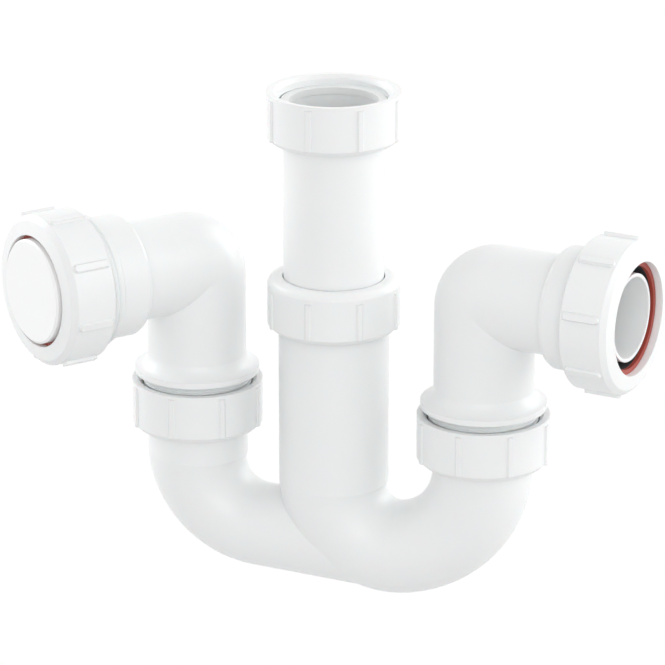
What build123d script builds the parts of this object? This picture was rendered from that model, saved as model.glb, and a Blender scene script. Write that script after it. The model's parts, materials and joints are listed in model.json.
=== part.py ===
"""Sink trap with a height-adjustable inlet and two swivel outlets.

A W-shaped trap body hangs under a telescopic inlet tube. Each side leg carries an elbow on a
captive swivel nut, and each elbow ends in a compression socket. The left socket is closed by a
blanking cap, the right one is open and ready for a waste pipe.

Frame: millimetres, +Z up. The origin is the centre of the inlet washer's top face, where the
tail of the sink waste seats. The legs stand in a row along X and the front of the trap is -Y.
"""
import os
from math import acos, cos, degrees, radians, sin

from build123d import *

os.makedirs("parts", exist_ok=True)

# Pipe sizes, walls and clearances that the fitting is built round
WALL = 2.2                # wall of the body and the elbows
TUBE_R = 21.5             # outside radius of the inlet tube and of the side legs
TUBE_WALL = 2.3
PIPE_R = 21.5             # outside radius of the waste pipe that an outlet takes
SLIP = 0.4                # radial room of a loose sliding or turning fit
SEAL_SLIP = 0.2           # radial room between a rubber seal and the pipe in it
TURN_GAP = 0.3            # room between faces that turn past each other
THREAD_ROOM = 1.2         # radial room between a nut's bore and the plain core of its thread

# Heights of the inlet, counted down from the seat at Z = 0
WASHER_THICK = 3.0
WASHER_BORE_INSET = 2.6   # from the outside of the tube in to the bore of each flat washer
BEAD_PROUD = 1.0          # retaining bead on a tube or leg end, inside its captive nut
BEAD_THICK = 3.6
INLET_NUT_TOP = 4.0
TUBE_LENGTH = 118.0
TUBE_TIP_IN = 0.8         # taper round the tube's lower end
TUBE_TIP_LONG = 2.0
RIDGE_PROUD = 0.7         # ridge on the tube that carries the loose inlet nut
RIDGE_HEIGHT = 1.2

# Captive swivel nuts, one size for the inlet and both legs
NUT_HEIGHT = 21.3
NUT_BEAD_ROOM = 1.6       # radial room between a bead and the nut's bore
NUT_WALL = 4.3            # from the bore out to the plain outside between the ribs
NUT_RIM = 1.6             # width of the plain band above the ribs
NUT_LIP = 3.6             # inward lip that hooks under the bead
NUT_LEAD_IN = 1.7         # chamfer at the thread's mouth
NUT_FOOT_CHAMFER = 2.0
NUT_LIP_MOUTH = 1.3       # chamfer inside the lip's lower edge
RIB_COUNT = 8
RIB_WIDTH = 4.0
RIB_PROUD = 0.8
RIB_SIDE_ANGLE = 58       # slope of a rib's sides

# Slide nut, thrust ring, seal and socket of the centre leg
SLIDE_NUT_TOP = -77.7
SLIDE_NUT_HEIGHT = 22.6
SLIDE_NUT_WALL = 2.3
SLIDE_NUT_SHOULDER = 2.9  # drop of its domed shoulder
SLIDE_NUT_DOME = 0.8
SLIDE_NUT_LIP = 3.2
SLIDE_NUT_FLAT = 1.6      # flat ring round the opening
SLIDE_THREAD_SHORT = 1.5  # the thread stops this far above the tight nut's foot
SLIDE_SEAL_THICK = 2.2
SLIDE_SOCKET_WALL = 1.2   # from the seal's seat out to the core of the thread
LEG_WALL = 1.8            # wall of the centre leg
RING_THICK = 1.6
SEAL_HEIGHT = 6.4
SEAL_FLAT = 2.2           # straight part of a seal, above its taper
SEAL_NOSE = 0.9           # radial width of a seal at its thin end
SEAL_STANDS = 1.0         # how far a seal stands out of its socket

# Trap body: places of the legs and the run of the two bends
LEFT_LEG_X = -63.5
RIGHT_LEG_X = 68.0
LEFT_LEG_SPREAD = 0.4     # the left leg widens a little down to its bend
RUN_R = 20.2              # outside radius along the bottom
RUN_Z = -198.5            # centre line of the bottom of the right bend
CENTRE_BEND_R = 28.0      # centre-line radii of the bends
RIGHT_BEND_R = 43.2
LEFT_BEND_R = 31.0
LEFT_RUN_R = 18.4
LEFT_RUN_FALL = 2.6       # degrees that the left run falls towards the centre leg
LEFT_RUN_END_X = 24.0
LEFT_BEND_RISE = 2.1      # how far the left bend's bottom stands above the right one's
NARROWED_AT_MIDDLE = 0.7  # share of a bend's narrowing that is done at its middle

# Elbows
ELBOW_R = 21.4
ELBOW_AXIS_Z = -77.8      # height of the outlets' axes
ELBOW_BEND_R = 6.0        # centre-line radius of the tight bend
COLLAR_R = 27.0
COLLAR_THICK = 2.7
COLLAR_TOP = -125.4
COLLAR_SWEEP = 5.4        # concave fillet from the pipe on to the collar
COLLAR_SWEEP_R = 6.4
SWIVEL_GAP = 3.3          # thread left showing between the collar and the tight nut
LEFT_OUTLET_TURN = 53.7   # degrees that each outlet is swung forward from the row of legs
RIGHT_OUTLET_TURN = 8.0

# Outlet sockets, as distances along the outlet from the leg's axis
SOCKET_START = 35.2
SOCKET_FLARE = 3.4        # length of the rounded shoulder
SOCKET_BULGE = (0.5, 0.8) # middle of the shoulder: share of its length, share of its rise
SOCKET_WALL = 4.4         # from the pipe's pocket out to the plain band behind the thread
SOCKET_GROOVE_END = 50.6
SOCKET_END = 63.6
SOCKET_THREAD_LEAD = 1.0
POCKET_FLOOR = 42.0       # bottom of the ring-shaped pocket that the pipe enters
SLEEVE_ROOM = 2.8         # width of the pocket, from the sleeve out to the pipe's outside
SLEEVE_WALL = 1.5
SLEEVE_PROUD = 4.0        # how far the sleeve stands out of the socket
OUTLET_SEAL_THICK = 4.7
OUTLET_SOCKET_WALL = 1.7  # from the seal's seat out to the core of the thread
SEAL_SEAT_DEPTH = 7.4
RING_OVERLAP = 1.2        # how far a thrust ring reaches over the socket's rim

# Outlet nuts
OUTLET_NUT_FACE = 71.0    # front of the tight right-hand nut
OUTLET_NUT_LENGTH = 21.6
OUTLET_NUT_WALL = 3.3
OUTLET_NUT_DOME = 1.1     # how far the front face falls back from the opening to its edge
OUTLET_NUT_EDGE = 2.2     # chamfer round the front face
OUTLET_NUT_BACK_EDGE = 0.6
OUTLET_OPENING_ROOM = 2.5 # radial room between the pipe and the nut's opening
OUTLET_LIP = 3.3
OUTLET_RIB_PROUD = 1.5
OUTLET_RIB_WIDTH = 4.2
OUTLET_RIB_TOP = 3.0      # width of a rib along its crest
OUTLET_RIB_BACK = 2.0     # plain bands behind the ribs and in front of them
OUTLET_RIB_FRONT = 3.4
LEFT_NUT_BACKED_OFF = 9.0  # the left nut is only run on a few turns

# Blanking cap
CAP_ROOM = 1.6            # gap round the disc inside the nut's opening
CAP_THICK = 3.4
CAP_PROUD = 1.5
CAP_SKIRT_LENGTH = 26.0
CAP_EDGE = 0.8

# How far each nut's ribs are turned, in degrees from the +X axis or from straight up
INLET_NUT_PHASE = -1.6
SLIDE_NUT_PHASE = -2.0
LEFT_SWIVEL_PHASE = -1.0
RIGHT_SWIVEL_PHASE = -2.9
LEFT_OUTLET_PHASE = -14.5
RIGHT_OUTLET_PHASE = -14.0

# Radii that follow from the sizes above
SLIDE_BORE_R = TUBE_R + SLIP
BEAD_R = TUBE_R + BEAD_PROUD
WASHER_BORE_R = TUBE_R - WASHER_BORE_INSET
NUT_BORE_R = BEAD_R + NUT_BEAD_ROOM
NUT_R = NUT_BORE_R + NUT_WALL
SPIGOT_THREAD_R = NUT_BORE_R - THREAD_ROOM
LEG_R = SLIDE_BORE_R + LEG_WALL
SLIDE_SEAL_R = TUBE_R + SLIDE_SEAL_THICK
SLIDE_THREAD_R = SLIDE_SEAL_R + SLIDE_SOCKET_WALL
SLIDE_NUT_BORE_R = SLIDE_THREAD_R + THREAD_ROOM
SLIDE_NUT_R = SLIDE_NUT_BORE_R + SLIDE_NUT_WALL
POCKET_R = PIPE_R + SLIP
SOCKET_R = POCKET_R + SOCKET_WALL
SLEEVE_R = PIPE_R - SLEEVE_ROOM
SEAL_SEAT_R = PIPE_R + OUTLET_SEAL_THICK
SOCKET_THREAD_R = SEAL_SEAT_R + OUTLET_SOCKET_WALL
OUTLET_NUT_BORE_R = SOCKET_THREAD_R + THREAD_ROOM
OUTLET_NUT_R = OUTLET_NUT_BORE_R + OUTLET_NUT_WALL
OUTLET_OPENING_R = PIPE_R + OUTLET_OPENING_ROOM
CAP_R = OUTLET_OPENING_R - CAP_ROOM

SIDES = ("left", "right")
LEG_X = {"left": LEFT_LEG_X, "right": RIGHT_LEG_X}
OUTWARD = {"left": -1, "right": 1}
OUTLET_TURN = {"left": LEFT_OUTLET_TURN, "right": RIGHT_OUTLET_TURN}
SWIVEL_PHASE = {"left": LEFT_SWIVEL_PHASE, "right": RIGHT_SWIVEL_PHASE}
OUTLET_PHASE = {"left": LEFT_OUTLET_PHASE, "right": RIGHT_OUTLET_PHASE}
BACKED_OFF = {"left": LEFT_NUT_BACKED_OFF, "right": 0.0}


def section_plane(base):
    """The plane that holds base's own axis as its Y and base's X as its X."""
    return Plane(origin=base.origin, x_dir=base.x_dir, z_dir=-base.y_dir)


def spin_axis(base):
    return Axis(base.origin, base.z_dir)


def outlet_base(side):
    """Plane at the crossing of the leg's axis and the outlet's axis, facing out of the outlet."""
    turn = radians(OUTLET_TURN[side])
    out = Vector(OUTWARD[side] * cos(turn), -sin(turn), 0)
    return Plane(origin=(LEG_X[side], 0, ELBOW_AXIS_Z), x_dir=(0, 0, 1), z_dir=out)


def leg_base(side, height):
    return Plane(origin=(LEG_X[side], 0, height), x_dir=(1, 0, 0), z_dir=(0, 0, 1))


def lerp(start, end, share):
    return start + (end - start) * share


def save(piece, name):
    piece.label = name
    export_step(piece, f"parts/{name}.step")


def rib_sketch():
    """Cross-section of a grip rib on a nut in the making, its foot sunk into the nut's wall."""
    return Trapezoid(RIB_WIDTH, 2 * RIB_PROUD, RIB_SIDE_ANGLE, rotation=-90)


def captive_nut(base, phase):
    """A swivel nut with its rim on the base plane, its lip below and its ribs round it."""
    rib_bottom = -NUT_HEIGHT + NUT_FOOT_CHAMFER
    with BuildPart() as nut:
        with BuildSketch(section_plane(base)):
            with BuildLine():
                Polyline(
                    (SLIDE_BORE_R + NUT_LIP_MOUTH, -NUT_HEIGHT),
                    (NUT_R - NUT_FOOT_CHAMFER, -NUT_HEIGHT),
                    (NUT_R, rib_bottom),
                    (NUT_R, 0),
                    (NUT_BORE_R + NUT_LEAD_IN, 0),
                    (NUT_BORE_R, -NUT_LEAD_IN),
                    (NUT_BORE_R, -NUT_HEIGHT + NUT_LIP),
                    (SLIDE_BORE_R, -NUT_HEIGHT + NUT_LIP),
                    (SLIDE_BORE_R, -NUT_HEIGHT + NUT_LIP_MOUTH),
                    close=True,
                )
            make_face()
        revolve(axis=spin_axis(base))
        with BuildSketch(base.offset(rib_bottom)):
            with PolarLocations(NUT_R, RIB_COUNT, start_angle=phase):
                rib_sketch()
        extrude(amount=-NUT_RIM - rib_bottom)
    return nut.part


def thrust_ring(base, inner, outer):
    with BuildPart() as ring:
        with BuildSketch(base):
            Circle(outer)
            Circle(inner, mode=Mode.SUBTRACT)
        extrude(amount=RING_THICK)
    return ring.part


def tapered_seal(base, inner, outer):
    """A rubber seal whose flat end lies on the base plane and whose thin end points back."""
    with BuildPart() as seal:
        with BuildSketch(section_plane(base)):
            with BuildLine():
                Polyline(
                    (inner, 0),
                    (outer, 0),
                    (outer, -SEAL_FLAT),
                    (inner + SEAL_NOSE, -SEAL_HEIGHT),
                    (inner, -SEAL_HEIGHT),
                    close=True,
                )
            make_face()
        revolve(axis=spin_axis(base))
    return seal.part


# Inlet tube: a telescopic tube with a bead at its top end and a ridge under the inlet nut's lip
bead_top = -WASHER_THICK
tube_bottom = bead_top - TUBE_LENGTH
tube_bore = TUBE_R - TUBE_WALL
top_base = Plane.XY
ridge_top = INLET_NUT_TOP - NUT_HEIGHT + NUT_LIP_MOUTH - (RIDGE_PROUD - SLIP)

with BuildPart() as inlet_tube:
    with BuildSketch(section_plane(top_base)):
        with BuildLine():
            Polyline(
                (tube_bore, tube_bottom),
                (TUBE_R - TUBE_TIP_IN, tube_bottom),
                (TUBE_R, tube_bottom + TUBE_TIP_LONG),
                (TUBE_R, ridge_top - RIDGE_HEIGHT),
                (TUBE_R + RIDGE_PROUD, ridge_top - RIDGE_HEIGHT + RIDGE_PROUD),
                (TUBE_R + RIDGE_PROUD, ridge_top),
                (TUBE_R, ridge_top + RIDGE_PROUD),
                (TUBE_R, bead_top - BEAD_THICK),
                (BEAD_R, bead_top - BEAD_THICK),
                (BEAD_R, bead_top),
                (tube_bore, bead_top),
                close=True,
            )
        make_face()
    revolve(axis=spin_axis(top_base))
save(inlet_tube.part, "inlet_tube")

# Inlet washer: a flat ring that lies on the bead
with BuildPart() as inlet_washer:
    with BuildSketch(top_base.offset(bead_top)):
        Circle(BEAD_R)
        Circle(WASHER_BORE_R, mode=Mode.SUBTRACT)
    extrude(amount=WASHER_THICK)
save(inlet_washer.part, "inlet_washer")

# Inlet nut
save(captive_nut(top_base.offset(INLET_NUT_TOP), INLET_NUT_PHASE), "inlet_nut")

# Slide nut: it closes the compression joint that grips the inlet tube
slide_nut_foot = -SLIDE_NUT_HEIGHT
slide_nut_brow = SLIDE_BORE_R + SLIDE_NUT_FLAT
slide_base = Plane.XY.offset(SLIDE_NUT_TOP)

with BuildPart() as slide_nut:
    with BuildSketch(section_plane(slide_base)):
        with BuildLine():
            Line((SLIDE_BORE_R, 0), (slide_nut_brow, 0))
            ThreePointArc(
                (slide_nut_brow, 0),
                (
                    (slide_nut_brow + SLIDE_NUT_R) / 2 + SLIDE_NUT_DOME,
                    -SLIDE_NUT_SHOULDER / 2 + SLIDE_NUT_DOME,
                ),
                (SLIDE_NUT_R, -SLIDE_NUT_SHOULDER),
            )
            Polyline(
                (SLIDE_NUT_R, -SLIDE_NUT_SHOULDER),
                (SLIDE_NUT_R, slide_nut_foot + NUT_FOOT_CHAMFER),
                (SLIDE_NUT_R - NUT_FOOT_CHAMFER, slide_nut_foot),
                (SLIDE_NUT_BORE_R, slide_nut_foot),
                (SLIDE_NUT_BORE_R, -SLIDE_NUT_LIP),
                (SLIDE_BORE_R, -SLIDE_NUT_LIP),
                (SLIDE_BORE_R, 0),
            )
        make_face()
    revolve(axis=spin_axis(slide_base))
    with BuildSketch(slide_base.offset(slide_nut_foot + NUT_FOOT_CHAMFER)):
        with PolarLocations(SLIDE_NUT_R, RIB_COUNT, start_angle=SLIDE_NUT_PHASE):
            rib_sketch()
    extrude(amount=SLIDE_NUT_HEIGHT - NUT_FOOT_CHAMFER - SLIDE_NUT_SHOULDER - NUT_RIM)
save(slide_nut.part, "slide_nut")

# Slide ring and slide seal, under the slide nut's lip
slide_ring_base = slide_base.offset(-SLIDE_NUT_LIP - RING_THICK)
save(thrust_ring(slide_ring_base, SLIDE_BORE_R, SLIDE_SEAL_R), "slide_ring")
save(tapered_seal(slide_ring_base, TUBE_R + SEAL_SLIP, SLIDE_SEAL_R), "slide_seal")

# Trap body: the bends are swept through circles that shrink towards the bottom, because the
# moulding's cores draw out of the legs
left_bend_centre = (LEFT_LEG_X + LEFT_BEND_R, RUN_Z + LEFT_BEND_RISE + LEFT_BEND_R)
# The right bend and the centre bend are two arcs that meet in a common tangent
meet_angle = degrees(
    acos((RIGHT_LEG_X - CENTRE_BEND_R - RIGHT_BEND_R) / (RIGHT_BEND_R - CENTRE_BEND_R))
)
right_bend_centre = (RIGHT_LEG_X - RIGHT_BEND_R, RUN_Z + RIGHT_BEND_R)
centre_bend_centre = (
    CENTRE_BEND_R,
    right_bend_centre[1] - (RIGHT_BEND_R - CENTRE_BEND_R) * sin(radians(meet_angle)),
)
leg_socket_top = SLIDE_NUT_TOP - SLIDE_NUT_LIP - RING_THICK - SEAL_STANDS
thread_bottom = SLIDE_NUT_TOP + slide_nut_foot + SLIDE_THREAD_SHORT
# A tight swivel nut hooks under the leg's bead and leaves a little of the spigot's thread bare
swivel_rim = COLLAR_TOP - COLLAR_THICK - SWIVEL_GAP
swivel_foot = swivel_rim - NUT_HEIGHT
leg_top = swivel_foot + NUT_LIP + BEAD_THICK
spigot_foot = leg_top + WASHER_THICK


def bend_plane(centre, radius, angle):
    """Plane across a bend in the XZ plane; the angle counts from the leg on its left."""
    turn = radians(angle)
    place = (centre[0] - radius * cos(turn), 0, centre[1] - radius * sin(turn))
    return Plane(origin=place, x_dir=(0, 1, 0), z_dir=(sin(turn), 0, -cos(turn)))


def bend_point(centre, radius, angle):
    return bend_plane(centre, radius, angle).origin


def swept_tube(path, stations):
    """A round tube along path; each station is a plane across it and the radius there."""
    sections = []
    for plane, radius in stations:
        with BuildSketch(plane) as circle:
            Circle(radius)
        sections.append(circle.sketch)
    with BuildPart() as tube:
        sweep(sections=sections, path=path, multisection=True)
    return tube.part


def bend_arc(centre, radius, start, end):
    return ThreePointArc(
        bend_point(centre, radius, start),
        bend_point(centre, radius, (start + end) / 2),
        bend_point(centre, radius, end),
    )


def main_bend(shrink):
    """Centre bend and right bend as one tube, with its radii less the given wall."""
    with BuildLine() as path:
        bend_arc(centre_bend_centre, CENTRE_BEND_R, 0, meet_angle)
        bend_arc(right_bend_centre, RIGHT_BEND_R, meet_angle, 180)
    narrow = lerp(LEG_R, RUN_R, NARROWED_AT_MIDDLE)
    widened = lerp(TUBE_R, RUN_R, NARROWED_AT_MIDDLE)
    right_middle = (meet_angle + 180) / 2
    return swept_tube(path.line, (
        (bend_plane(centre_bend_centre, CENTRE_BEND_R, 0), LEG_R - shrink),
        (bend_plane(centre_bend_centre, CENTRE_BEND_R, meet_angle / 2), narrow - shrink),
        (bend_plane(centre_bend_centre, CENTRE_BEND_R, meet_angle), RUN_R - shrink),
        (bend_plane(right_bend_centre, RIGHT_BEND_R, right_middle), widened - shrink),
        (bend_plane(right_bend_centre, RIGHT_BEND_R, 180), TUBE_R - shrink),
    ))


def left_bend(shrink):
    """Left leg's foot, left bend and the run into the foot of the centre leg, as one tube."""
    bend_end = 90 - LEFT_RUN_FALL
    bend_start = bend_plane(left_bend_centre, LEFT_BEND_R, 0)
    run_start = bend_plane(left_bend_centre, LEFT_BEND_R, bend_end)
    middle = lerp(TUBE_R + LEFT_LEG_SPREAD, LEFT_RUN_R, NARROWED_AT_MIDDLE)
    with BuildLine() as path:
        bend_arc(left_bend_centre, LEFT_BEND_R, 0, bend_end)
    bend = swept_tube(path.line, (
        (bend_start, TUBE_R + LEFT_LEG_SPREAD - shrink),
        (bend_plane(left_bend_centre, LEFT_BEND_R, bend_end / 2), middle - shrink),
        (run_start, LEFT_RUN_R - shrink),
    ))
    with BuildPart() as tube:
        add(bend)
        with BuildSketch(leg_base("left", swivel_foot - TURN_GAP)):
            Circle(TUBE_R - shrink)
        with BuildSketch(leg_base("left", bend_start.origin.Z)):
            Circle(TUBE_R + LEFT_LEG_SPREAD - shrink)
        loft(ruled=True)
        with BuildSketch(run_start):
            Circle(LEFT_RUN_R - shrink)
        extrude(amount=(LEFT_RUN_END_X - run_start.origin.X) / cos(radians(LEFT_RUN_FALL)))
    return tube.part


leg_floors = (("left", swivel_foot - TURN_GAP), ("right", right_bend_centre[1]))

with BuildPart() as trap_body:
    # outside of the bends and the legs
    add(main_bend(0))
    add(left_bend(0))
    with BuildSketch(Plane.XY.offset(centre_bend_centre[1])):
        Circle(LEG_R)
    extrude(amount=leg_socket_top - centre_bend_centre[1])
    # thread band of the centre leg
    with BuildSketch(Plane.XY.offset(thread_bottom)):
        Circle(SLIDE_THREAD_R)
    extrude(amount=leg_socket_top - thread_bottom)
    # side legs with their beads
    for side, floor in leg_floors:
        with BuildSketch(leg_base(side, floor)):
            Circle(TUBE_R)
        extrude(amount=leg_top - floor)
        with BuildSketch(leg_base(side, leg_top - BEAD_THICK)):
            Circle(BEAD_R)
        extrude(amount=BEAD_THICK)
    # waterways
    add(main_bend(WALL), mode=Mode.SUBTRACT)
    add(left_bend(WALL), mode=Mode.SUBTRACT)
    for side, floor in leg_floors:
        with BuildSketch(leg_base(side, floor)):
            Circle(TUBE_R - WALL)
        extrude(amount=leg_top - floor, mode=Mode.SUBTRACT)
    with BuildSketch(Plane.XY.offset(centre_bend_centre[1])):
        Circle(SLIDE_BORE_R)
    extrude(amount=leg_socket_top - centre_bend_centre[1], mode=Mode.SUBTRACT)
    # taper that the slide seal sits in
    with BuildSketch(section_plane(slide_ring_base)):
        with BuildLine():
            Polyline(
                (0, leg_socket_top - slide_ring_base.origin.Z),
                (SLIDE_SEAL_R, leg_socket_top - slide_ring_base.origin.Z),
                (SLIDE_SEAL_R, -SEAL_FLAT),
                (TUBE_R + SEAL_SLIP + SEAL_NOSE, -SEAL_HEIGHT),
                (0, -SEAL_HEIGHT),
                close=True,
            )
        make_face()
    revolve(axis=spin_axis(slide_ring_base), mode=Mode.SUBTRACT)
save(trap_body.part, "trap_body")


def elbow_pass(side, radius, far):
    """Upright stretch, tight bend and level stretch of an elbow, solid, of one radius."""
    out = outlet_base(side)
    away = out.z_dir
    bend_floor = Plane(
        origin=(LEG_X[side], 0, ELBOW_AXIS_Z - ELBOW_BEND_R), x_dir=away, z_dir=(0, 0, 1)
    )
    bend_axis = Axis(
        bend_floor.origin + away * ELBOW_BEND_R, Vector(away.Y, -away.X, 0)
    )
    with BuildPart() as stretch:
        with BuildSketch(leg_base(side, spigot_foot)):
            Circle(radius)
        extrude(amount=ELBOW_AXIS_Z - ELBOW_BEND_R - spigot_foot)
        with BuildSketch(out.offset(ELBOW_BEND_R)):
            Circle(radius)
        extrude(amount=far - ELBOW_BEND_R)
        with BuildSketch(bend_floor):
            Circle(radius)
            with Locations((ELBOW_BEND_R + radius, 0)):
                Rectangle(2 * radius, 2 * radius, mode=Mode.SUBTRACT)
        revolve(axis=bend_axis, revolution_arc=-90)
    return stretch.part


# Grip rib of an outlet nut: a tapered bar with a round front end, standing on +X
rib_length = OUTLET_NUT_LENGTH - OUTLET_RIB_BACK - OUTLET_RIB_FRONT
rib_root = Plane(origin=(OUTLET_NUT_R - OUTLET_RIB_PROUD, 0, 0), x_dir=(0, 0, 1), z_dir=(1, 0, 0))
with BuildPart() as rib:
    for plane, width in (
        (rib_root, OUTLET_RIB_WIDTH),
        (rib_root.offset(2 * OUTLET_RIB_PROUD), OUTLET_RIB_TOP),
    ):
        reach = rib_length - OUTLET_RIB_WIDTH / 2
        with BuildSketch(plane):
            with Locations((reach / 2, 0)):
                Rectangle(reach, width)
            with Locations((reach, 0)):
                Circle(width / 2)
    loft(ruled=True)
outlet_rib = rib.part

for side in SIDES:
    out = outlet_base(side)
    foot = leg_base(side, spigot_foot)
    collar_rise = COLLAR_TOP - spigot_foot

    # Swivel washer between the leg's bead and the elbow's spigot
    with BuildPart() as swivel_washer:
        with BuildSketch(leg_base(side, leg_top)):
            Circle(BEAD_R)
            Circle(WASHER_BORE_R, mode=Mode.SUBTRACT)
        extrude(amount=WASHER_THICK)
    save(swivel_washer.part, f"{side}_swivel_washer")

    # Swivel nut, captive on the leg, threaded up on to the elbow's spigot
    save(captive_nut(leg_base(side, swivel_rim), SWIVEL_PHASE[side]), f"{side}_swivel_nut")

    # Elbow: spigot, collar, tight bend, outlet socket and the sleeve inside it
    with BuildPart() as elbow:
        add(elbow_pass(side, ELBOW_R, SOCKET_START + SOCKET_FLARE))
        # spigot, collar and the sweep up to the pipe
        with BuildSketch(section_plane(foot)):
            with BuildLine():
                Polyline(
                    (0, collar_rise + COLLAR_SWEEP),
                    (0, 0),
                    (SPIGOT_THREAD_R, 0),
                    (SPIGOT_THREAD_R, collar_rise - COLLAR_THICK),
                    (COLLAR_R, collar_rise - COLLAR_THICK),
                    (COLLAR_R, collar_rise),
                )
                RadiusArc(
                    (COLLAR_R, collar_rise),
                    (ELBOW_R, collar_rise + COLLAR_SWEEP),
                    COLLAR_SWEEP_R,
                )
                Line((ELBOW_R, collar_rise + COLLAR_SWEEP), (0, collar_rise + COLLAR_SWEEP))
            make_face()
        revolve(axis=spin_axis(foot))
        # socket
        with BuildSketch(section_plane(out)):
            with BuildLine():
                Polyline(
                    (0, SOCKET_START),
                    (ELBOW_R, SOCKET_START),
                    (
                        lerp(ELBOW_R, SOCKET_R, SOCKET_BULGE[1]),
                        lerp(SOCKET_START, SOCKET_START + SOCKET_FLARE, SOCKET_BULGE[0]),
                    ),
                    (SOCKET_R, SOCKET_START + SOCKET_FLARE),
                    (SOCKET_R, SOCKET_GROOVE_END),
                    (SOCKET_THREAD_R, SOCKET_GROOVE_END + SOCKET_THREAD_LEAD),
                    (SOCKET_THREAD_R, SOCKET_END),
                    (0, SOCKET_END),
                    close=True,
                )
            make_face()
        revolve(axis=spin_axis(out))
        # pipe pocket and the taper for the seal
        with BuildSketch(section_plane(out)):
            with BuildLine():
                Polyline(
                    (0, POCKET_FLOOR),
                    (POCKET_R, POCKET_FLOOR),
                    (POCKET_R, SOCKET_END - SEAL_SEAT_DEPTH),
                    (SEAL_SEAT_R, SOCKET_END - SEAL_FLAT),
                    (SEAL_SEAT_R, SOCKET_END),
                    (0, SOCKET_END),
                    close=True,
                )
            make_face()
        revolve(axis=spin_axis(out), mode=Mode.SUBTRACT)
        # sleeve
        with BuildSketch(out.offset(POCKET_FLOOR)):
            Circle(SLEEVE_R)
        extrude(amount=SOCKET_END + SLEEVE_PROUD - POCKET_FLOOR)
        # waterway
        add(elbow_pass(side, ELBOW_R - WALL, SOCKET_START), mode=Mode.SUBTRACT)
        with BuildSketch(out.offset(SOCKET_START)):
            Circle(SLEEVE_R - SLEEVE_WALL)
        extrude(amount=SOCKET_END + SLEEVE_PROUD - SOCKET_START, mode=Mode.SUBTRACT)
    save(elbow.part, f"{side}_elbow")

    # Outlet nut, its thrust ring and its seal
    nut_face = out.offset(OUTLET_NUT_FACE + BACKED_OFF[side])
    nut_back = -OUTLET_NUT_LENGTH
    with BuildPart() as outlet_nut:
        with BuildSketch(section_plane(nut_face)):
            with BuildLine():
                Polyline(
                    (OUTLET_OPENING_R, 0),
                    (OUTLET_NUT_R - OUTLET_NUT_EDGE, -OUTLET_NUT_DOME),
                    (OUTLET_NUT_R, -OUTLET_NUT_DOME - OUTLET_NUT_EDGE),
                    (OUTLET_NUT_R, nut_back + OUTLET_NUT_BACK_EDGE),
                    (OUTLET_NUT_R - OUTLET_NUT_BACK_EDGE, nut_back),
                    (OUTLET_NUT_BORE_R, nut_back),
                    (OUTLET_NUT_BORE_R, -OUTLET_LIP),
                    (OUTLET_OPENING_R, -OUTLET_LIP),
                    close=True,
                )
            make_face()
        revolve(axis=spin_axis(nut_face))
        with Locations(nut_face.offset(nut_back + OUTLET_RIB_BACK)):
            with PolarLocations(0, RIB_COUNT, start_angle=OUTLET_PHASE[side]):
                add(outlet_rib)
    save(outlet_nut.part, f"{side}_outlet_nut")

    ring_base = nut_face.offset(-OUTLET_LIP - RING_THICK)
    save(thrust_ring(ring_base, POCKET_R, SEAL_SEAT_R + RING_OVERLAP), f"{side}_thrust_ring")
    save(
        tapered_seal(ring_base, PIPE_R + SEAL_SLIP, SEAL_SEAT_R - TURN_GAP),
        f"{side}_outlet_seal",
    )

# Blanking cap in the left outlet: a disc with a skirt that takes the pipe's place in the seal
cap_face = outlet_base("left").offset(OUTLET_NUT_FACE + LEFT_NUT_BACKED_OFF + CAP_PROUD)
cap_rest = -CAP_PROUD - OUTLET_LIP
with BuildPart() as blanking_cap:
    with BuildSketch(section_plane(cap_face)):
        with BuildLine():
            Polyline(
                (0, 0),
                (CAP_R - CAP_EDGE, 0),
                (CAP_R, -CAP_EDGE),
                (CAP_R, cap_rest),
                (PIPE_R, cap_rest),
                (PIPE_R, -CAP_SKIRT_LENGTH),
                (PIPE_R - TUBE_WALL, -CAP_SKIRT_LENGTH),
                (PIPE_R - TUBE_WALL, -CAP_THICK),
                (0, -CAP_THICK),
                close=True,
            )
        make_face()
    revolve(axis=spin_axis(cap_face))
save(blanking_cap.part, "blanking_cap")
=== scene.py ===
# %% [markdown]
# # A white sink trap, dressed for its picture
#
# The trap hangs under a kitchen sink. Water comes down the telescopic inlet tube, round the
# bends and out of two swivel elbows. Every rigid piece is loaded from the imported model. This
# lesson gives each piece its finish, cuts the screw threads that the solids leave plain, and
# sets up the light and the camera.

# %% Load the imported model
import json
from math import cos, pi, radians, sin

import bpy
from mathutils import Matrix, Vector


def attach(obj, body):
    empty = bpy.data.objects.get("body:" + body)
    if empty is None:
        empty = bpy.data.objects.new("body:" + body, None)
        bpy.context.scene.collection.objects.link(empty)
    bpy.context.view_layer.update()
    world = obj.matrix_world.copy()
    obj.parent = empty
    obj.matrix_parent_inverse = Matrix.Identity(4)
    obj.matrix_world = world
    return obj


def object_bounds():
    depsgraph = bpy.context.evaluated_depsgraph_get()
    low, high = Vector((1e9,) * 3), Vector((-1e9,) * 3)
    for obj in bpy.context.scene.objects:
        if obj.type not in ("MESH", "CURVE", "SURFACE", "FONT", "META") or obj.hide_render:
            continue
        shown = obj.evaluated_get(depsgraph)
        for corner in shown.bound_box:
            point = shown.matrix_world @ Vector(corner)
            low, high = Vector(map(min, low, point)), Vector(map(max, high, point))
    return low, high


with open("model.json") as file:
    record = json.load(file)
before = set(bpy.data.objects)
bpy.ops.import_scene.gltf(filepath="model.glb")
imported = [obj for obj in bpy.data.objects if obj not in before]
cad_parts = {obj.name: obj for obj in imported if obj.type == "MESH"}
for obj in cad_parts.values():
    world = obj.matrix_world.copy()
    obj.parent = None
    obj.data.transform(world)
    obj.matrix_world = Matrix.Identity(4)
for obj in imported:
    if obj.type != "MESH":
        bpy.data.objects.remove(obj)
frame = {"record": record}
cad_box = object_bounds()
scene = bpy.context.scene
print("box of the solids:", cad_box)

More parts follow.
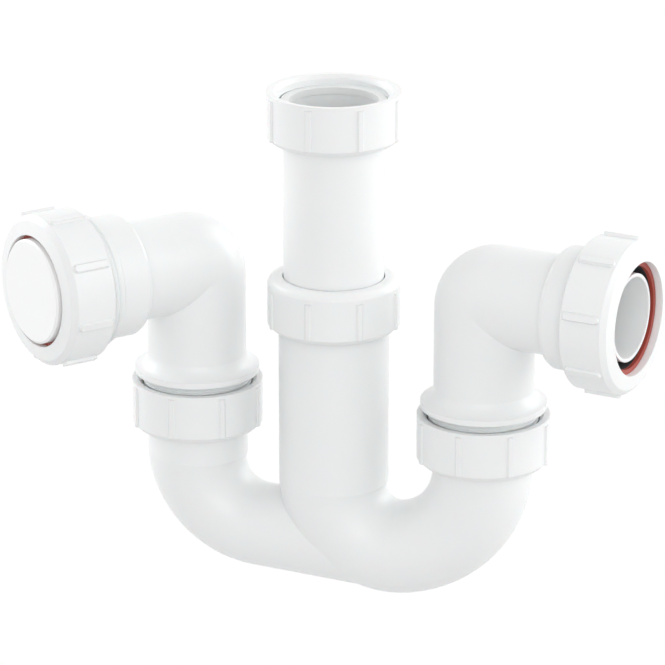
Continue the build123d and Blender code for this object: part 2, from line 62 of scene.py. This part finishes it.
# %% [markdown]
# ## Shader maths as plain Python
#
# A finish on moulded plastic is mostly small sums: take a noise, scale it, add it to the
# roughness. Such sums can be built by hand from many Math nodes, but they are easier to read as
# expressions. So one small class wraps a socket, and each operator adds its own Math node. Every
# other node is added by one method, which takes the node's settings and what goes into it.

# %% Wrap a socket so that sums on it become nodes
MIX_COLOUR_A, MIX_COLOUR_B, MIX_COLOUR_RESULT = 6, 7, 2    # a Mix node's sockets for colours


def plug(slot, value):
    """Link a wrapped socket to slot, or write a plain value on it."""
    if isinstance(value, Maths):
        slot.id_data.links.new(value.socket, slot)
    else:
        slot.default_value = value


class Maths:
    """What a node gives out: a number, colour or shader that changes over a surface."""

    def __init__(self, socket):
        self.socket = socket

    def sum_node(self, operation, first, second):
        node = self.socket.id_data.nodes.new("ShaderNodeMath")
        node.operation = operation
        plug(node.inputs[0], first)
        plug(node.inputs[1], second)
        return Maths(node.outputs[0])

    def __add__(self, other):
        return self.sum_node("ADD", self, other)

    def __radd__(self, other):
        return self.sum_node("ADD", other, self)

    def __mul__(self, other):
        return self.sum_node("MULTIPLY", self, other)

    def __rmul__(self, other):
        return self.sum_node("MULTIPLY", other, self)

    def most(self, other):
        return self.sum_node("MAXIMUM", self, other)


class Shading:
    """The node tree of a material or of the world, and the one method that adds nodes to it."""

    def __init__(self, tree):
        self.tree = tree

    def node(self, kind, settings=None, sockets=None, output=0):
        """Add one node: its settings first, then the values or links of its sockets."""
        node = self.tree.nodes.new(kind)
        for key, value in (settings or {}).items():
            setattr(node, key, value)
        for key, value in (sockets or {}).items():
            plug(node.inputs[key], value)
        return Maths(node.outputs[output])

    def tint(self, share, near, far):
        """A colour that goes from near to far as share goes from 0 to 1."""
        return self.node("ShaderNodeMix", {"data_type": "RGBA"}, {
            "Factor": share, MIX_COLOUR_A: (*near, 1.0), MIX_COLOUR_B: (*far, 1.0)},
            output=MIX_COLOUR_RESULT)

    def looked_at(self):
        """1 on rays from the camera, or from it by way of a gloss or a clear piece, else 0."""
        seen = self.node("ShaderNodeLightPath", output="Is Camera Ray")
        for ray in ("Is Glossy Ray", "Is Transmission Ray"):
            seen = seen.most(self.node("ShaderNodeLightPath", output=ray))
        return seen


class Finish(Shading):
    """A material with its Principled shader."""

    def __init__(self, name, colour, roughness, **shader_values):
        self.material = bpy.data.materials.new(name)
        self.material.use_nodes = True
        super().__init__(self.material.node_tree)
        self.shader = self.tree.nodes["Principled BSDF"]
        self.feed("Base Color", (*colour, 1.0))
        self.feed("Roughness", roughness)
        for slot, value in shader_values.items():
            self.feed(slot.replace("_", " "), value)
        self.material.diffuse_color = (*colour, 1.0)

    def feed(self, slot, value):
        plug(self.shader.inputs[slot], value)


print("shader maths ready")

# %% [markdown]
# ## White plastic
#
# The body, tubes and nuts are moulded polypropylene: a cool white with a satin skin. It could be
# one flat colour, but a real moulding has a faint cloudiness in its colour and gloss, tiny waves
# in its skin, and no truly sharp edge anywhere. Two soft noises make the clouds and the waves:
# the clouds are about 2 cm across and the waves about 2 mm. The edges could be cut round in the
# solids, but a Bevel node does it for every edge at once: it bends the surface normal within
# about half a millimetre of each edge, where a mould leaves a small round.

# %% Mix the white plastic
MM = 0.001
CLOUD_SCALE = 55.0
WAVE_SCALE = 420.0
WAVE_DEPTH = 0.2 * MM
GLOSS_SPREAD = 0.06


def moulded(name, colour, shade, roughness, wave, edge, **shader_values):
    """Moulded plastic or rubber, whose colour clouds over towards shade.

    Wave is the strength of its faintly wavy skin, and edge the radius of its softened edges.
    """
    finish = Finish(name, colour, roughness, **shader_values)
    place = finish.node("ShaderNodeTexCoord", output="Object")
    cloud = finish.node("ShaderNodeTexNoise", sockets={"Vector": place, "Scale": CLOUD_SCALE})
    skin = finish.node("ShaderNodeTexNoise", sockets={"Vector": place, "Scale": WAVE_SCALE})
    soft_edge = finish.node("ShaderNodeBevel", {"samples": 6}, {"Radius": edge})
    finish.feed("Base Color", finish.tint(cloud, colour, shade))
    finish.feed("Roughness", roughness - GLOSS_SPREAD / 2 + cloud * GLOSS_SPREAD)
    finish.feed("Normal", finish.node("ShaderNodeBump", sockets={
        "Height": skin, "Strength": wave, "Distance": WAVE_DEPTH, "Normal": soft_edge}))
    return finish


white_plastic = moulded(
    "white_polypropylene", (0.868, 0.880, 0.880), (0.860, 0.872, 0.872),
    roughness=0.34, wave=0.10, edge=0.6 * MM,
    IOR=1.49, Subsurface_Weight=0.12, Subsurface_Scale=2 * MM,
)
print("white plastic:", white_plastic.material.name)

# %% [markdown]
# ## Washers, rings and seals
#
# The flat washers are softer, more milky plastic. The blanking cap is white plastic painted a
# purer white, as painted light for the light on its face. The thrust rings are red, so that a
# fitter sees at once when one is missing. The seals are black rubber and sit out of sight behind
# the rings.

# %% Mix the other finishes
washer_plastic = moulded(
    "milky_polyethylene", (0.84, 0.85, 0.845), (0.81, 0.825, 0.82),
    roughness=0.48, wave=0.06, edge=0.2 * MM, IOR=1.51)
ring_plastic = moulded(
    "red_ring_plastic", (0.42, 0.065, 0.042), (0.36, 0.05, 0.034),
    roughness=0.42, wave=0.10, edge=0.2 * MM, IOR=1.49)
seal_rubber = moulded(
    "seal_rubber", (0.035, 0.035, 0.037), (0.028, 0.028, 0.03),
    roughness=0.62, wave=0.15, edge=0.3 * MM, IOR=1.52)
# The cap's purer white is painted light: a lighter copy of the white plastic, for the light on
# its face.
cap_plastic_painted_light = moulded(
    "painted_light_cap_plastic", (0.935, 0.94, 0.94), (0.915, 0.92, 0.92),
    roughness=0.32, wave=0.08, edge=0.4 * MM, IOR=1.5)
FINISHES = {
    "white_plastic": white_plastic,
    "washer_plastic": washer_plastic,
    "ring_plastic": ring_plastic,
    "seal_rubber": seal_rubber,
}
slot_of = {part["node"]: part["material_slot"] for part in frame["record"]["subparts"]}
for name, slot_name in slot_of.items():
    solid = bpy.data.objects[name]
    solid.data.materials.clear()
    # The cap takes the lighter copy, with its painted light.
    finish = cap_plastic_painted_light if name == "blanking_cap" else FINISHES[slot_name]
    solid.data.materials.append(finish.material)
print("finishes given to", len(slot_of), "pieces")

# %% [markdown]
# ## Where the threads run
#
# Five pipes carry an outside thread: the centre leg, both elbows' spigots and both outlet
# sockets. The inlet nut's inside thread shows too, because nothing is screwed into it yet. The
# solids give each thread a plain core, so the ridges here stand on that core. Each ridge could
# be modelled upright and then turned into place, but it is simpler to name the lines that the
# solids are built round, three legs and two outlets, and to wind each ridge along its line.

# %% Name the axes that the threads wind round
LEFT_LEG_X, RIGHT_LEG_X = -63.5 * MM, 68.0 * MM
OUTLET_HEIGHT = -77.8 * MM
UP = Vector((0, 0, 1))


def outlet_way(outward, turn):
    """Direction out of an elbow that is swung forward by turn degrees from the row of legs."""
    return Vector((outward * cos(radians(turn)), -sin(radians(turn)), 0))


CENTRE_LEG = (Vector((0, 0, 0)), UP)
LEFT_LEG = (Vector((LEFT_LEG_X, 0, 0)), UP)
RIGHT_LEG = (Vector((RIGHT_LEG_X, 0, 0)), UP)
LEFT_TURN, RIGHT_TURN = 53.7, 8.0
LEFT_OUTLET = (Vector((LEFT_LEG_X, 0, OUTLET_HEIGHT)), outlet_way(-1, LEFT_TURN))
RIGHT_OUTLET = (Vector((RIGHT_LEG_X, 0, OUTLET_HEIGHT)), outlet_way(1, RIGHT_TURN))
print("left outlet points along", tuple(round(v, 3) for v in LEFT_OUTLET[1]))

# %% [markdown]
# ## Cut the threads
#
# A thread is one ridge that winds round a pipe and climbs by its pitch at each turn. It could be
# a Screw modifier on a small profile, but then its two ends would stop dead. A real moulded
# thread fades in and out, so here each ring of the ridge is placed in turn, and its height grows
# over the first part of a turn and shrinks over the last. The ridge's flanks slope, its crest is
# flat, and its root is sunk into the pipe so that no gap shows.

# %% Wind one ridge along an axis
PITCH = 2.31 * MM
STEPS_PER_TURN = 72
FADE_TURNS = 0.3
ROOT_SUNK = 0.15 * MM
ROOT_HALF_WIDTH = 0.80 * MM
CREST_HALF_WIDTH = 0.28 * MM
SHARP_EDGE = radians(25)


def thread_ridge(name, body, line, core, crest, start, end, first_angle=0.0):
    """A right-hand thread from start to end along line, standing from radius core to crest."""
    origin, way = line
    across = Vector((1, 0, 0)) if abs(way.x) < 0.5 else Vector((0, 0, 1))
    across = (across - way * across.dot(way)).normalized()
    beside = way.cross(across)
    turns = (end - start) / PITCH
    steps = int(turns * STEPS_PER_TURN)
    outwards = 1 if crest > core else -1
    points, faces = [], []
    for step in range(steps + 1):
        turn = step / STEPS_PER_TURN
        fade = min(turn, turns - turn, FADE_TURNS) / FADE_TURNS
        fade = fade * fade * (3 - 2 * fade)
        angle = radians(first_angle) + 2 * pi * turn
        radial = across * cos(angle) + beside * sin(angle)
        middle = origin + way * (start + turn * PITCH)
        top = core - outwards * ROOT_SUNK + (crest - core + outwards * ROOT_SUNK) * fade
        for radius, offset in (
            (core - outwards * 2 * ROOT_SUNK, -ROOT_HALF_WIDTH),
            (top, -CREST_HALF_WIDTH),
            (top, CREST_HALF_WIDTH),
            (core - outwards * 2 * ROOT_SUNK, ROOT_HALF_WIDTH),
        ):
            points.append(middle + radial * radius + way * offset)
        if step:
            here, before = 4 * step, 4 * step - 4
            for corner in range(4):
                after = (corner + 1) % 4
                face = (before + corner, before + after, here + after, here + corner)
                faces.append(face if outwards > 0 else face[::-1])
    first, last = (3, 2, 1, 0), tuple(range(len(points) - 4, len(points)))
    faces += [first, last] if outwards > 0 else [first[::-1], last[::-1]]
    mesh = bpy.data.meshes.new(name)
    mesh.from_pydata(points, [], faces)
    mesh.update()
    mesh.shade_smooth()
    mesh.set_sharp_from_angle(angle=SHARP_EDGE)
    mesh.materials.append(white_plastic.material)
    ridge = bpy.data.objects.new(name, mesh)
    scene.collection.objects.link(ridge)
    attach(ridge, body)
    return ridge


print("pitch", PITCH, "m, ridge", round(2 * ROOT_HALF_WIDTH, 5), "m wide at its root")

# %% Thread every pipe and the inlet nut
OUTSIDE_HEIGHT, INSIDE_HEIGHT = 0.7 * MM, 1.0 * MM
NUT_BORE, LEG_CORE, SPIGOT_CORE, SOCKET_CORE = 24.1 * MM, 24.9 * MM, 22.9 * MM, 27.9 * MM
NUT_SPAN = (-12.4 * MM, 1.9 * MM)          # from start to end along each pipe's own line
LEG_SPAN = (-97.9 * MM, -84.4 * MM)
SPIGOT_SPAN = (-141.6 * MM, -128.9 * MM)
SOCKET_SPAN = (52.6 * MM, 62.7 * MM)

threads = [
    thread_ridge("inlet_nut_thread", "inlet_collar", CENTRE_LEG,
                 NUT_BORE, NUT_BORE - INSIDE_HEIGHT, *NUT_SPAN, first_angle=40),
    thread_ridge("centre_leg_thread", "trap", CENTRE_LEG,
                 LEG_CORE, LEG_CORE + OUTSIDE_HEIGHT, *LEG_SPAN),
]
for side, arm, leg, outlet in (
    ("left", "left_arm", LEFT_LEG, LEFT_OUTLET),
    ("right", "right_arm", RIGHT_LEG, RIGHT_OUTLET),
):
    threads += [
        thread_ridge(f"{side}_spigot_thread", arm, leg,
                     SPIGOT_CORE, SPIGOT_CORE + OUTSIDE_HEIGHT, *SPIGOT_SPAN, first_angle=200),
        thread_ridge(f"{side}_socket_thread", arm, outlet,
                     SOCKET_CORE, SOCKET_CORE + OUTSIDE_HEIGHT, *SOCKET_SPAN, first_angle=90),
    ]
print("threads:", [thread.name for thread in threads])

# %% [markdown]
# ## Floor and world
#
# The trap is shown on plain white. A pale floor a little below it keeps its faint shadow, and
# looks white to the camera and in reflections, because the Light Path node tells those rays from
# the rest. As a source of light the floor is a mid grey, so that undersides stay a shade darker
# than the sides. The world works the same way: white to look at, a little darker as a light.

# %% Set the floor and the world
FLOOR_DROP = 0.06
FLOOR_GLOW = 0.88
FLOOR_HALF = 6.0
FLOOR_LIT = (0.62, 0.62, 0.62)
FLOOR_SEEN = (0.95, 0.95, 0.95)
floor_height = cad_box[0][2] - FLOOR_DROP
floor_mesh = bpy.data.meshes.new("studio_floor")
floor_mesh.from_pydata(
    [(-FLOOR_HALF, -FLOOR_HALF, floor_height), (FLOOR_HALF, -FLOOR_HALF, floor_height),
     (FLOOR_HALF, FLOOR_HALF, floor_height), (-FLOOR_HALF, FLOOR_HALF, floor_height)],
    [], [(0, 1, 2, 3)])
studio_floor = bpy.data.objects.new("studio_floor", floor_mesh)
scene.collection.objects.link(studio_floor)
floor_finish = Finish("floor_paper", FLOOR_SEEN, 0.9)
seen = floor_finish.looked_at()
floor_finish.feed("Base Color", floor_finish.tint(seen, FLOOR_LIT, FLOOR_SEEN))
glow = floor_finish.node("ShaderNodeEmission", sockets={"Strength": 1.0})
paper = floor_finish.node("ShaderNodeMixShader", sockets={
    0: seen * FLOOR_GLOW, 1: Maths(floor_finish.shader.outputs["BSDF"]), 2: glow})
plug(floor_finish.tree.nodes["Material Output"].inputs["Surface"], paper)
studio_floor.data.materials.append(floor_finish.material)

WORLD_LIGHT = 0.76
world = bpy.data.worlds.new("studio")
scene.world = world
world.use_nodes = True
backdrop = world.node_tree.nodes["Background"]
plug(backdrop.inputs["Color"], (1, 1, 1, 1))
plug(backdrop.inputs["Strength"],
     Shading(world.node_tree).looked_at() * (1.0 - WORLD_LIGHT) + WORLD_LIGHT)
print("floor at", round(floor_height, 4))

# %% [markdown]
# ## Lights
#
# The light in the picture is soft and comes mostly from the sides and from behind: the flanks of
# the tubes are bright and the part that faces the camera is the darkest. So two large lights
# stand half behind the trap and two low ones beside it, one more helps from the upper right, and
# a weak one near the camera only keeps the open outlets from going dark.

# %% Place the lights
LIGHT_AIM = Vector((0, 0, -0.1))
LIGHT_DISTANCE = 2.2
LIGHT_SIZE = 1.4


def soft_light(name, way, power):
    """A round soft light of power watts that looks at the trap from the given direction."""
    lamp = bpy.data.lights.new(name, "AREA")
    lamp.shape = "DISK"
    lamp.size = LIGHT_SIZE
    lamp.energy = power
    holder = bpy.data.objects.new(name, lamp)
    holder.location = LIGHT_AIM + Vector(way).normalized() * LIGHT_DISTANCE
    holder.rotation_euler = (LIGHT_AIM - holder.location).to_track_quat("-Z", "Y").to_euler()
    scene.collection.objects.link(holder)
    return holder


soft_light("right_back_light", (0.513, 0.747, 0.423), 11.0)
soft_light("left_back_light", (-0.877, 0.226, 0.423), 15.0)
soft_light("right_low_light", (0.858, 0.506, 0.087), 12.0)
soft_light("left_low_light", (-0.996, -0.010, 0.087), 7.0)
soft_light("right_light", (0.863, -0.067, 0.500), 5.6)
soft_light("front_light", (0.339, -0.904, 0.259), 9.5)

# %% [markdown]
# ## Camera
#
# The camera stands well away and looks down a little from the front right, with a long lens, so
# that the two legs of the trap look the same size.

# %% Place the camera
SENSOR_WIDTH = 36.0       # mm
PICTURE_WIDTH = 665.0     # pixels
FOCAL_PIXELS = 4000.0     # the lens, as measured in the picture's own pixels
CAMERA_PLACE = Vector((0.56785, -1.51792, 0.45849))
CAMERA_LOOK = Vector((-0.33133, 0.88477, -0.32771))
lens = bpy.data.cameras.new("camera")
lens.sensor_width = SENSOR_WIDTH
lens.lens = SENSOR_WIDTH * FOCAL_PIXELS / PICTURE_WIDTH
lens.clip_end = 50.0
camera = bpy.data.objects.new("camera", lens)
camera.location = CAMERA_PLACE
camera.rotation_euler = CAMERA_LOOK.to_track_quat("-Z", "Y").to_euler()
scene.collection.objects.link(camera)
scene.camera = camera
scene.view_settings.view_transform = "Standard"
print("camera at", tuple(round(v, 3) for v in camera.location))
